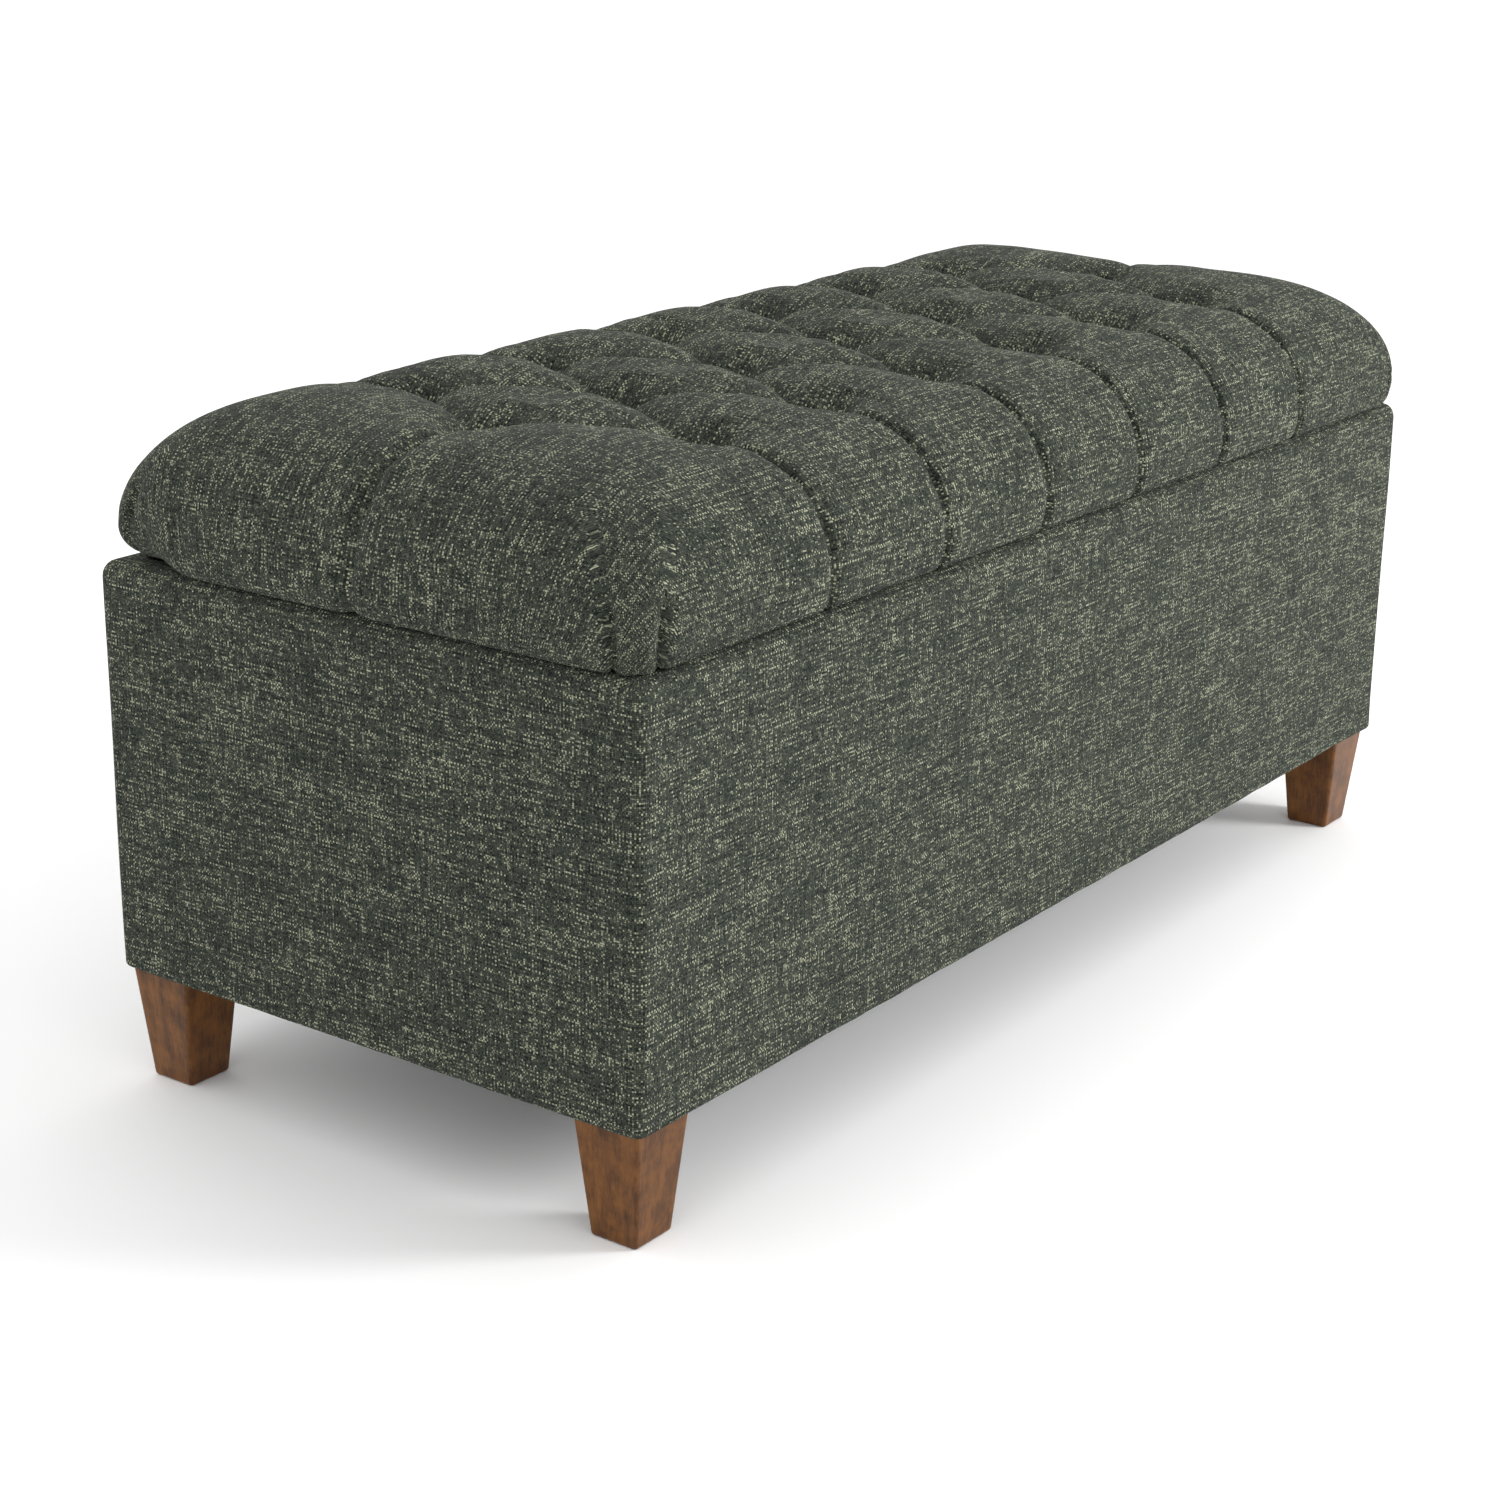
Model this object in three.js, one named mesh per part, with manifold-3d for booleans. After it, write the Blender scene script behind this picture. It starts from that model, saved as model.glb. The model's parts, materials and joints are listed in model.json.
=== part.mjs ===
// Upholstered storage bench: a padded plywood box on four tapered legs, with a
// button-tufted lid that swings on two butt hinges and two slotted stays.
// Millimetres, +Z up, front towards -Y, origin on the floor under the middle of the box.
import * as THREE from "three";
import { mergeVertices } from "three/addons/utils/BufferGeometryUtils.js";
import Module from "manifold-3d";

const wasm = await Module();
wasm.setup();

// Overall sizes
const length = 1075;
const width = 468;
const leg_height = 86;
const box_height = 300;
const lid_gap = 3.5;
const lid_height = 110.5;
const gap = 0.3;

// Box
const panel_thickness = 15;
const floor_thickness = 9;
const block_size = 70;
const block_height = 18;
const cleat_width = 20;
const cover_thickness = 6;
const rim_thickness = 3;
const hem_thickness = 2;
const rim_radius = 12;
const cover_corner_radius = 14;
const lining_thickness = 1.5;
const dust_cloth_thickness = 1;

// Legs and their hanger bolts
const leg_top_size = 54;
const leg_foot_size = 38;
const leg_inset = 4;
const leg_edge_radius = 2.5;
const leg_foot_chamfer = 1.5;
const bolt_radius = 4;
const bolt_in_leg = 40;

// Lid
const board_thickness = 15;
const lid_skin = 3;
const lid_roll_radius = 20;
const crown_width = 130;
const lid_corner_radius = 40;
const lid_hem_width = 18;

// Tufting: the middle row has one button more than the front and back rows
const middle_row_buttons = 7;
const tuft_end_inset = 131;
const tuft_row_inset = 110;
const tuft_depth = 42;
const tuft_mouth_radius = 36;
const button_radius = 11;
const button_height = 6;

// Hinges
const hinge_length = 50;
const hinge_spacing = 620;
const hinge_axis_inset = 5;
const leaf_width = 16;
const knuckle_radius = 3;
const hinge_pin_radius = 1.5;
const hinge_pin_head_radius = 2.4;
const hinge_pin_head_length = 1;

// Slotted stays: the pivot and the stud are equally far from the hinge axis, so an arm
// turns by half the lid's angle and its slot alone takes up the change of distance
const lid_opening = THREE.MathUtils.degToRad(95);
const stay_pivot_dip = THREE.MathUtils.degToRad(3.5);
const stay_closed_angle = THREE.MathUtils.degToRad(25);
const stay_floor_clearance = 28;
const stay_tail = 12;
const arm_width = 14;
const arm_thickness = 2;
const arm_standoff = 4;
const stud_radius = 3;
const stud_collar_radius = 6;
const stud_in_panel = 10;
const rivet_radius = 2.5;
const rivet_head_radius = 4.5;
const rivet_head_length = 1.5;
const bracket_length = 30;
const bracket_depth = 20;

// Rubber bumpers under the front of the lid
const bumper_radius = 7;
const bumper_spacing = 800;

// Heights
const box_top = leg_height + box_height;
const lid_bottom = box_top + lid_gap;
const panel_bottom = leg_height + hem_thickness + gap;
const panel_top = box_top - rim_thickness - gap;
const floor_bottom = panel_bottom + block_height + gap;
const lining_bottom = floor_bottom + floor_thickness + gap;
const lining_floor = lining_bottom + lining_thickness;
const hinge_z = box_top + lid_gap / 2;
const board_bottom = lid_bottom + lid_skin + gap;
const board_top = board_bottom + board_thickness;
const crown_height = lid_height - lid_roll_radius;
const tuft_floor = lid_bottom + lid_height - tuft_depth;

// Distances in from the outer faces of the cover
const panel_inset = cover_thickness + gap;
const panel_inner_inset = panel_inset + panel_thickness;
const lining_inset = panel_inner_inset + gap;
const well_inset = lining_inset + lining_thickness;
const leg_centre_inset = leg_inset + leg_top_size / 2;
const board_inset = lid_roll_radius + 2 * gap;
const lid_lining_inset = board_inset + lid_hem_width;
const bumper_inset = panel_inset + panel_thickness / 2;

const finishes = {
  fabric: { color: 0x4a5248, roughness: 0.95, metalness: 0 },
  lining: { color: 0x1c1d1c, roughness: 0.9, metalness: 0 },
  foam: { color: 0xd8cfa6, roughness: 0.95, metalness: 0 },
  plywood: { color: 0xb99a6b, roughness: 0.8, metalness: 0 },
  leg_wood: { color: 0x5a3620, roughness: 0.45, metalness: 0 },
  steel: { color: 0x9b9c9e, roughness: 0.35, metalness: 1 },
  rubber: { color: 0x151515, roughness: 0.85, metalness: 0 },
};

const bench = new THREE.Group();
const base = new THREE.Group();
const lid = new THREE.Group();
bench.add(base, lid);

// ---- Helpers ----

function toSolid(geometry) {
  const bare = geometry.index ? geometry.toNonIndexed() : geometry.clone();
  bare.deleteAttribute("normal");
  bare.deleteAttribute("uv");
  const merged = mergeVertices(bare, 1e-3);
  const vertProperties = merged.attributes.position.array;
  const triVerts = new Uint32Array(merged.index.array);
  return new wasm.Manifold(new wasm.Mesh({ numProp: 3, vertProperties, triVerts }));
}

function toGeometry(solid) {
  const result = solid.getMesh();
  const geometry = new THREE.BufferGeometry();
  geometry.setAttribute("position", new THREE.BufferAttribute(result.vertProperties, 3));
  geometry.setIndex(new THREE.BufferAttribute(result.triVerts, 1));
  geometry.computeVertexNormals();
  return geometry;
}

function piece(name, geometry, finish, group, x = 0, y = 0, z = 0) {
  const mesh = new THREE.Mesh(geometry, new THREE.MeshStandardMaterial(finishes[finish]));
  mesh.name = name;
  mesh.position.set(x, y, z);
  group.add(mesh);
  return mesh;
}

// A box between two heights, with the given distances in from the outer faces.
function insetBox(inset_x, inset_y, low, high) {
  const geometry = new THREE.BoxGeometry(length - 2 * inset_x, width - 2 * inset_y, high - low);
  return geometry.translate(0, 0, (low + high) / 2);
}

function rod(radius, from, to, sides = 12) {
  const geometry = new THREE.CylinderGeometry(radius, radius, to - from, sides);
  return geometry.rotateZ(-Math.PI / 2).translate((from + to) / 2, 0, 0);
}

function boxBetween(x, y, z) {
  const geometry = new THREE.BoxGeometry(x[1] - x[0], y[1] - y[0], z[1] - z[0]);
  return geometry.translate((x[0] + x[1]) / 2, (y[0] + y[1]) / 2, (z[0] + z[1]) / 2);
}

function roundedRectangle(size_x, size_y, radius) {
  const x = size_x / 2 - radius;
  const y = size_y / 2 - radius;
  const outline = new THREE.Shape();
  outline.absarc(x, y, radius, 0, Math.PI / 2);
  outline.absarc(-x, y, radius, Math.PI / 2, Math.PI);
  outline.absarc(-x, -y, radius, Math.PI, 1.5 * Math.PI);
  outline.absarc(x, -y, radius, 1.5 * Math.PI, 2 * Math.PI);
  return outline;
}

const corners = [
  { name: "front_left", x: -1, y: -1 },
  { name: "front_right", x: 1, y: -1 },
  { name: "back_left", x: -1, y: 1 },
  { name: "back_right", x: 1, y: 1 },
];
const sides = [
  { name: "left", x: -1 },
  { name: "right", x: 1 },
];

// ---- Where the stays act, seen from the side: offsets from the hinge axis ----

const stay_swing = lid_opening + stay_closed_angle;
const arm_lean = stay_pivot_dip + stay_closed_angle / 2;
const stay_depth = hinge_z - lining_floor - stay_floor_clearance - arm_width / 2;
const stay_radius =
  (stay_depth - stay_tail * Math.cos(arm_lean)) /
  (Math.sin(stay_pivot_dip) + 2 * Math.sin(stay_swing / 2) * Math.cos(arm_lean));
const slot_start = 2 * stay_radius * Math.sin(stay_closed_angle / 2);
const slot_end = 2 * stay_radius * Math.sin(stay_swing / 2);
const hinge_y = width / 2 - hinge_axis_inset;
const pivot_y = hinge_y - stay_radius * Math.cos(stay_pivot_dip);
const pivot_z = hinge_z - stay_radius * Math.sin(stay_pivot_dip);
const stud_dip = stay_pivot_dip + stay_closed_angle;
const stud_y = hinge_y - stay_radius * Math.cos(stud_dip);
const stud_z = hinge_z - stay_radius * Math.sin(stud_dip);
const well_half_length = length / 2 - well_inset;
const arm_outer_x = well_half_length - arm_standoff;
const arm_inner_x = arm_outer_x - arm_thickness;

// ---- Box ----

function longPanel(name, side) {
  const panel_height = panel_top - panel_bottom;
  const geometry = new THREE.BoxGeometry(length - 2 * panel_inset, panel_thickness, panel_height);
  const y = side * (width / 2 - panel_inset - panel_thickness / 2);
  piece(name, geometry, "plywood", base, 0, y, (panel_top + panel_bottom) / 2);
}

// An end panel fits between the long panels and has a blind hole for the stay's stud.
function endPanel({ name, x }) {
  const panel_width = width - 2 * lining_inset;
  const inner_x = length / 2 - panel_inner_inset;
  const board = toSolid(
    boxBetween(
      [inner_x, inner_x + panel_thickness],
      [-panel_width / 2, panel_width / 2],
      [panel_bottom, panel_top],
    ),
  );
  const hole = rod(stud_radius + gap, inner_x - gap, inner_x + stud_in_panel).translate(0, stud_y, stud_z);
  const mesh = piece(`${name}_panel`, toGeometry(board.subtract(toSolid(hole))), "plywood", base);
  mesh.scale.x = x;
}

function floorPanel() {
  const geometry = insetBox(lining_inset, lining_inset, floor_bottom, floor_bottom + floor_thickness);
  piece("floor_panel", geometry, "plywood", base);
}

function cleat(name, side) {
  const cleat_length = length - 2 * (lining_inset + block_size + gap);
  const geometry = new THREE.BoxGeometry(cleat_length, cleat_width, block_height);
  const y = side * (width / 2 - lining_inset - cleat_width / 2);
  piece(name, geometry, "plywood", base, 0, y, panel_bottom + block_height / 2);
}

function boltHole(low, high) {
  const geometry = new THREE.CylinderGeometry(bolt_radius + gap, bolt_radius + gap, high - low, 12);
  return geometry.rotateX(Math.PI / 2).translate(0, 0, (low + high) / 2);
}

function legCentre(corner) {
  return [
    corner.x * (length / 2 - leg_centre_inset),
    corner.y * (width / 2 - leg_centre_inset),
  ];
}

function cornerBlock(corner) {
  const [leg_x, leg_y] = legCentre(corner);
  const x = corner.x * (length / 2 - lining_inset - block_size / 2);
  const y = corner.y * (width / 2 - lining_inset - block_size / 2);
  const block = toSolid(new THREE.BoxGeometry(block_size, block_size, block_height));
  const hole = boltHole(-block_height, block_height).translate(leg_x - x, leg_y - y, 0);
  const geometry = toGeometry(block.subtract(toSolid(hole)));
  piece(`corner_block_${corner.name}`, geometry, "plywood", base, x, y, panel_bottom + block_height / 2);
}

// The padded cover wraps the four sides, turns over the rim and turns under the panels.
function baseCover() {
  const outline = roundedRectangle(
    length - 2 * rim_radius,
    width - 2 * rim_radius,
    cover_corner_radius - rim_radius,
  );
  const wrapped = new THREE.ExtrudeGeometry(outline, {
    depth: box_height,
    bevelThickness: rim_radius,
    bevelSize: rim_radius,
    bevelSegments: 4,
    curveSegments: 2,
  });
  wrapped.translate(0, 0, leg_height - rim_radius);
  const below = insetBox(-gap, -gap, leg_height - 3 * rim_radius, leg_height);
  const pocket = insetBox(cover_thickness, cover_thickness, leg_height + hem_thickness, box_top - rim_thickness);
  const well = insetBox(well_inset, well_inset, box_height / 2, box_top + gap);
  const underside = insetBox(panel_inner_inset, panel_inner_inset, leg_height - gap, box_height / 2);
  let cover = toSolid(wrapped);
  for (const cut of [below, pocket, well, underside]) cover = cover.subtract(toSolid(cut));
  piece("base_cover", toGeometry(cover), "fabric", base);
}

function baseLining() {
  const outside = toSolid(insetBox(lining_inset, lining_inset, lining_bottom, panel_top));
  const inside = toSolid(insetBox(well_inset, well_inset, lining_floor, box_top));
  const holes = toSolid(rod(stud_radius + gap, -length / 2, length / 2).translate(0, stud_y, stud_z));
  piece("base_lining", toGeometry(outside.subtract(inside).subtract(holes)), "lining", base);
}

function dustCloth() {
  const top = panel_bottom - gap;
  let cloth = toSolid(insetBox(lining_inset, lining_inset, top - dust_cloth_thickness, top));
  for (const corner of corners) {
    const hole = boltHole(top - 2 * dust_cloth_thickness, top + gap).translate(...legCentre(corner), 0);
    cloth = cloth.subtract(toSolid(hole));
  }
  piece("dust_cloth", toGeometry(cloth), "lining", base);
}

// ---- Legs ----

// A square leg with softened corners, tapered evenly on all four faces.
function legGeometry() {
  const height = leg_height - gap;
  const outline = roundedRectangle(
    leg_top_size - 2 * leg_foot_chamfer,
    leg_top_size - 2 * leg_foot_chamfer,
    leg_edge_radius - leg_foot_chamfer,
  );
  const block = new THREE.ExtrudeGeometry(outline, {
    depth: height - 2 * leg_foot_chamfer,
    bevelThickness: leg_foot_chamfer,
    bevelSize: leg_foot_chamfer,
    bevelSegments: 1,
    curveSegments: 1,
  });
  block.translate(0, 0, leg_foot_chamfer);
  const position = block.attributes.position;
  for (let i = 0; i < position.count; i++) {
    const z = position.getZ(i);
    const scale = THREE.MathUtils.lerp(leg_foot_size / leg_top_size, 1, z / height);
    position.setXY(i, position.getX(i) * scale, position.getY(i) * scale);
  }
  const hole = toSolid(boltHole(height - bolt_in_leg - gap, height + gap));
  return toGeometry(toSolid(block).subtract(hole));
}

function legs() {
  const leg = legGeometry();
  const bolt_bottom = leg_height - gap - bolt_in_leg;
  const bolt_top = panel_bottom + block_height - gap;
  const bolt = new THREE.CylinderGeometry(bolt_radius, bolt_radius, bolt_top - bolt_bottom, 12);
  bolt.rotateX(Math.PI / 2);
  for (const corner of corners) {
    const [x, y] = legCentre(corner);
    piece(`leg_${corner.name}`, leg, "leg_wood", base, x, y);
    piece(`leg_bolt_${corner.name}`, bolt, "steel", base, x, y, (bolt_bottom + bolt_top) / 2);
  }
}

// ---- Lid ----

// The upright outline of the crowned lid: a rolled lower edge and a quarter ellipse above it.
function crownOutline(span, skin) {
  const half = span / 2 - skin;
  const roll = lid_roll_radius - skin;
  const shoulder = crown_width - skin;
  const rise = crown_height - skin;
  const outline = new THREE.Shape();
  outline.absarc(half - roll, lid_roll_radius, roll, -Math.PI / 2, 0);
  outline.absellipse(half - shoulder, lid_roll_radius, shoulder, rise, 0, Math.PI / 2);
  outline.absellipse(-half + shoulder, lid_roll_radius, shoulder, rise, Math.PI / 2, Math.PI);
  outline.absarc(-half + roll, lid_roll_radius, roll, Math.PI, 1.5 * Math.PI);
  return outline;
}

// The crowned block is what the two upright outlines and the plan outline have in common.
function crownedBlock(skin) {
  const straight = { bevelEnabled: false, curveSegments: 4 };
  const along_x = new THREE.ExtrudeGeometry(crownOutline(width, skin), { depth: length, ...straight });
  along_x.rotateX(Math.PI / 2).rotateZ(Math.PI / 2).translate(-length / 2, 0, 0);
  const along_y = new THREE.ExtrudeGeometry(crownOutline(length, skin), { depth: width, ...straight });
  along_y.rotateX(Math.PI / 2).translate(0, width / 2, 0);
  const plan = roundedRectangle(length - 2 * skin, width - 2 * skin, lid_corner_radius - skin);
  const upright = new THREE.ExtrudeGeometry(plan, { depth: lid_height, ...straight });
  const block = toSolid(along_x).intersect(toSolid(along_y)).intersect(toSolid(upright));
  return block.translate([0, 0, lid_bottom]);
}

// Places of the buttons: three rows, the middle one half a pitch out of step.
function tuftPlaces() {
  const pitch = (length - 2 * tuft_end_inset) / (middle_row_buttons - 1);
  const places = [];
  for (const row of [-1, 0, 1]) {
    const count = row === 0 ? middle_row_buttons : middle_row_buttons - 1;
    for (let i = 0; i < count; i++)
      places.push([(i - (count - 1) / 2) * pitch, row * (width / 2 - tuft_row_inset)]);
  }
  return places;
}

// One funnel-shaped hollow, widened all round by a thickness of cloth.
function tuftHollow(skin) {
  const throat = button_radius + gap + skin;
  const floor = tuft_floor - skin;
  const mouth = tuft_mouth_radius + skin;
  const top = lid_bottom + lid_height + gap;
  const profile = [
    new THREE.Vector2(0, floor),
    new THREE.Vector2(throat, floor),
    new THREE.Vector2(throat + (mouth - throat) * 0.3, floor + tuft_depth * 0.5),
    new THREE.Vector2(mouth, top),
    new THREE.Vector2(0, top),
  ];
  return new THREE.LatheGeometry(profile, 12).rotateX(Math.PI / 2);
}

function hollowed(block, skin) {
  const hollow = toSolid(tuftHollow(skin));
  let result = block;
  for (const [x, y] of tuftPlaces()) result = result.subtract(hollow.translate([x, y, 0]));
  return result;
}

// The cover is open below around the board, where its edge turns under as a hem.
function seatCover() {
  const below_board = toSolid(insetBox(0, 0, box_top, board_top + gap));
  const inside = hollowed(crownedBlock(lid_skin).subtract(below_board), lid_skin);
  const board_pocket = insetBox(board_inset - gap, board_inset - gap, board_bottom - gap, board_top + 2 * gap);
  const mouth = insetBox(lid_lining_inset - gap, lid_lining_inset - gap, box_top, board_top);
  let cover = hollowed(crownedBlock(0), 0).subtract(inside);
  cover = cover.subtract(toSolid(board_pocket)).subtract(toSolid(mouth));
  piece("seat_cover", toGeometry(cover), "fabric", lid);
}

function seatFoam() {
  const below_board = toSolid(insetBox(0, 0, box_top, board_top + 2 * gap));
  const block = crownedBlock(lid_skin + gap).subtract(below_board);
  piece("seat_foam", toGeometry(hollowed(block, lid_skin + gap)), "foam", lid);
}

function lidBoard() {
  piece("lid_board", insetBox(board_inset, board_inset, board_bottom, board_top), "plywood", lid);
}

function lidLining() {
  const top = board_bottom - gap;
  const geometry = insetBox(lid_lining_inset, lid_lining_inset, top - lining_thickness, top);
  piece("lid_lining", geometry, "lining", lid);
}

function tuftButtons() {
  const profile = new THREE.Path();
  profile.moveTo(0, 0);
  profile.lineTo(button_radius * 0.85, 0);
  profile.lineTo(button_radius, button_height / 3);
  profile.absellipse(0, button_height / 3, button_radius, (button_height * 2) / 3, 0, Math.PI / 2);
  const button = new THREE.LatheGeometry(profile.getPoints(2), 12).rotateX(Math.PI / 2);
  tuftPlaces().forEach(([x, y], i) => {
    const number = String(i + 1).padStart(2, "0");
    piece(`tuft_button_${number}`, button, "fabric", lid, x, y, tuft_floor + gap);
  });
}

// ---- Hinges ----

function hingeGroup({ x }) {
  const group = new THREE.Group();
  group.position.set((x * hinge_spacing) / 2, hinge_y, hinge_z);
  return group;
}

// A leaf lies below or above the mid-plane of the gap, and its own knuckles reach the pin.
function hingeLeaf(level, knuckles) {
  const thickness = lid_gap / 2 - 1.5 * gap;
  const z = level > 0 ? [gap / 2, gap / 2 + thickness] : [-gap / 2 - thickness, -gap / 2];
  const clear = knuckle_radius + gap;
  const half = hinge_length / 2;
  let leaf = toSolid(boxBetween([-half, half], [-leaf_width, -clear], z));
  for (const [from, to] of knuckles) {
    leaf = leaf.add(toSolid(boxBetween([from, to], [-clear - gap, 0], z)));
    leaf = leaf.add(toSolid(rod(knuckle_radius, from, to)));
  }
  const bore = rod(hinge_pin_radius + gap, -half - gap, half + gap);
  return toGeometry(leaf.subtract(toSolid(bore)));
}

function hingePin() {
  const half = hinge_length / 2 + gap;
  const shank = toSolid(rod(hinge_pin_radius, -half - gap, half + gap));
  const left_head = toSolid(rod(hinge_pin_head_radius, -half - hinge_pin_head_length, -half));
  const right_head = toSolid(rod(hinge_pin_head_radius, half, half + hinge_pin_head_length));
  return toGeometry(shank.add(left_head).add(right_head));
}

function hinge(side) {
  const half = hinge_length / 2;
  const third = hinge_length / 6;
  const end_knuckles = [
    [-half, -third - gap / 2],
    [third + gap / 2, half],
  ];
  const middle_knuckle = [[-third + gap / 2, third - gap / 2]];
  const fixed = hingeGroup(side);
  const moving = hingeGroup(side);
  base.add(fixed);
  lid.add(moving);
  piece(`${side.name}_hinge_base_leaf`, hingeLeaf(-1, end_knuckles), "steel", fixed);
  piece(`${side.name}_hinge_pin`, hingePin(), "steel", fixed);
  piece(`${side.name}_hinge_lid_leaf`, hingeLeaf(1, middle_knuckle), "steel", moving);
}

// ---- Stays ----

// The shoulder stud stands out of the end panel, through the lining and the arm's slot.
function stayStud({ name, x }) {
  const panel_x = length / 2 - panel_inner_inset + stud_in_panel - gap;
  const shank = toSolid(rod(stud_radius, arm_inner_x - gap - 1, panel_x));
  const collar = toSolid(rod(stud_collar_radius, arm_outer_x + gap, well_half_length - gap));
  const head = toSolid(rod(stud_collar_radius, arm_inner_x - gap - arm_thickness, arm_inner_x - gap));
  const geometry = toGeometry(shank.add(collar).add(head));
  const mesh = piece(`${name}_stay_stud`, geometry, "steel", base, 0, stud_y, stud_z);
  mesh.scale.x = x;
}

// The bracket is screwed under the lid and carries the rivet that the arm turns on.
function stayBracket({ name, x }) {
  const tab_x = [arm_inner_x - gap - arm_thickness, arm_inner_x - gap];
  const top = lid_bottom - gap - pivot_z;
  const flange_x = [tab_x[1] - bracket_depth, tab_x[1]];
  const flange_y = [-bracket_length / 2, bracket_length / 2];
  const flange = toSolid(boxBetween(flange_x, flange_y, [top - arm_thickness, top]));
  const tab = toSolid(boxBetween(tab_x, [-arm_width / 2, arm_width / 2], [-arm_width / 2, top]));
  const rivet = toSolid(rod(rivet_radius, tab_x[0] + gap, arm_outer_x + 2 * gap));
  const head_x = arm_outer_x + gap;
  const head = toSolid(rod(rivet_head_radius, head_x, head_x + rivet_head_length));
  const geometry = toGeometry(flange.add(tab).add(rivet).add(head));
  const mesh = piece(`${name}_stay_bracket`, geometry, "steel", lid, 0, pivot_y, pivot_z);
  mesh.scale.x = x;
}

// The arm is drawn from its pivot along its length, then hung from the pivot at its lean.
function stayArm({ name, x }) {
  const half = arm_width / 2;
  const tip = slot_end + stay_tail;
  const outline = new THREE.Shape();
  outline.absarc(0, 0, half, Math.PI / 2, 1.5 * Math.PI);
  outline.absarc(tip, 0, half, -Math.PI / 2, Math.PI / 2);
  const pivot_hole = new THREE.Path();
  pivot_hole.absarc(0, 0, rivet_radius + gap, 0, 2 * Math.PI, true);
  const slot = new THREE.Path();
  slot.absarc(slot_start, 0, stud_radius + gap, -Math.PI / 2, -1.5 * Math.PI, true);
  slot.absarc(slot_end, 0, stud_radius + gap, Math.PI / 2, -Math.PI / 2, true);
  outline.holes.push(pivot_hole, slot);
  const options = { depth: arm_thickness, bevelEnabled: false, curveSegments: 4 };
  const geometry = new THREE.ExtrudeGeometry(outline, options).rotateY(Math.PI / 2);
  const mesh = piece(`${name}_stay_arm`, geometry, "steel", lid, x * arm_inner_x, pivot_y, pivot_z);
  mesh.scale.x = x;
  mesh.rotation.x = arm_lean;
}

function bumper({ name, x }) {
  const height = lid_gap - 2 * gap;
  const geometry = new THREE.CylinderGeometry(bumper_radius * 0.8, bumper_radius, height, 16);
  geometry.rotateX(Math.PI / 2);
  const y = -width / 2 + bumper_inset;
  piece(`${name}_bumper`, geometry, "rubber", base, (x * bumper_spacing) / 2, y, box_top + lid_gap / 2);
}

longPanel("front_panel", -1);
longPanel("back_panel", 1);
sides.forEach(endPanel);
floorPanel();
cleat("front_cleat", -1);
cleat("back_cleat", 1);
corners.forEach(cornerBlock);
baseCover();
baseLining();
dustCloth();
legs();
seatCover();
seatFoam();
lidBoard();
lidLining();
tuftButtons();
sides.forEach(hinge);
sides.forEach(stayStud);
sides.forEach(stayBracket);
sides.forEach(stayArm);
sides.forEach(bumper);

export default bench;
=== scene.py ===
# An upholstered storage bench: padded box, button-tufted lid, tapered wooden legs.
import json
import math

import bmesh
import bpy
import numpy as np
from mathutils import Matrix, Vector, noise


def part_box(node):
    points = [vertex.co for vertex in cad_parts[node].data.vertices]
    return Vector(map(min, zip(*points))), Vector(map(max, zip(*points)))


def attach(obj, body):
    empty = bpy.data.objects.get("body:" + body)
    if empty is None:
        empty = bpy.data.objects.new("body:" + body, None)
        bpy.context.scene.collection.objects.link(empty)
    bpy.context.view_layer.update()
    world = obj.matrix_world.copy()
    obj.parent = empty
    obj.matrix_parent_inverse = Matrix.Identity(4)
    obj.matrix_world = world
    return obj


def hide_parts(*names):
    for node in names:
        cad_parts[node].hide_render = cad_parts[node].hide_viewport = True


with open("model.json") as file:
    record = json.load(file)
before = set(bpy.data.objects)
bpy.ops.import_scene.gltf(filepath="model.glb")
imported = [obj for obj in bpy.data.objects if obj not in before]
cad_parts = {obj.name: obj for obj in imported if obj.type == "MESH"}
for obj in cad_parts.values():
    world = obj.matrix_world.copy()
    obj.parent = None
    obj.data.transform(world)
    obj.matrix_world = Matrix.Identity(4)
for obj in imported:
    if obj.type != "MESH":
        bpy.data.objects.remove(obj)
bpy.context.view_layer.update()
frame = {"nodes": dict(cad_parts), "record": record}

MM = 0.001
nodes = frame["nodes"]
scene = bpy.context.scene


# ---- Camera, floor and light ----

def look(yaw, pitch, roll):
    """The camera's turn: yaw to the right of +Y, pitch below the horizon, roll to the right."""
    yaw, pitch, roll = (math.radians(angle) for angle in (yaw, pitch, roll))
    level = math.cos(pitch)
    forward = Vector((math.sin(yaw) * level, math.cos(yaw) * level, -math.sin(pitch)))
    level = Vector((math.cos(yaw), -math.sin(yaw), 0))
    upright = level.cross(forward)
    right = math.cos(roll) * level + math.sin(roll) * upright
    up = -math.sin(roll) * level + math.cos(roll) * upright
    return Matrix((right, up, -forward)).transposed()


def make_camera():
    data = bpy.data.cameras.new("camera")
    data.sensor_width = 36
    data.lens = 69.68
    camera = bpy.data.objects.new("camera", data)
    camera.matrix_world = Matrix.LocRotScale(
        Vector((-1.8359, -1.2514, 0.8922)), look(54.209, 18.35, 0.778).to_quaternion(), None
    )
    scene.collection.objects.link(camera)
    scene.camera = camera


def area_light(name, place, aim, size, power):
    data = bpy.data.lights.new(name, "AREA")
    data.shape = "DISK"
    data.size = size
    data.energy = power
    light = bpy.data.objects.new(name, data)
    light.location = place
    light.rotation_euler = (Vector(aim) - Vector(place)).to_track_quat("-Z", "Y").to_euler()
    scene.collection.objects.link(light)


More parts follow.
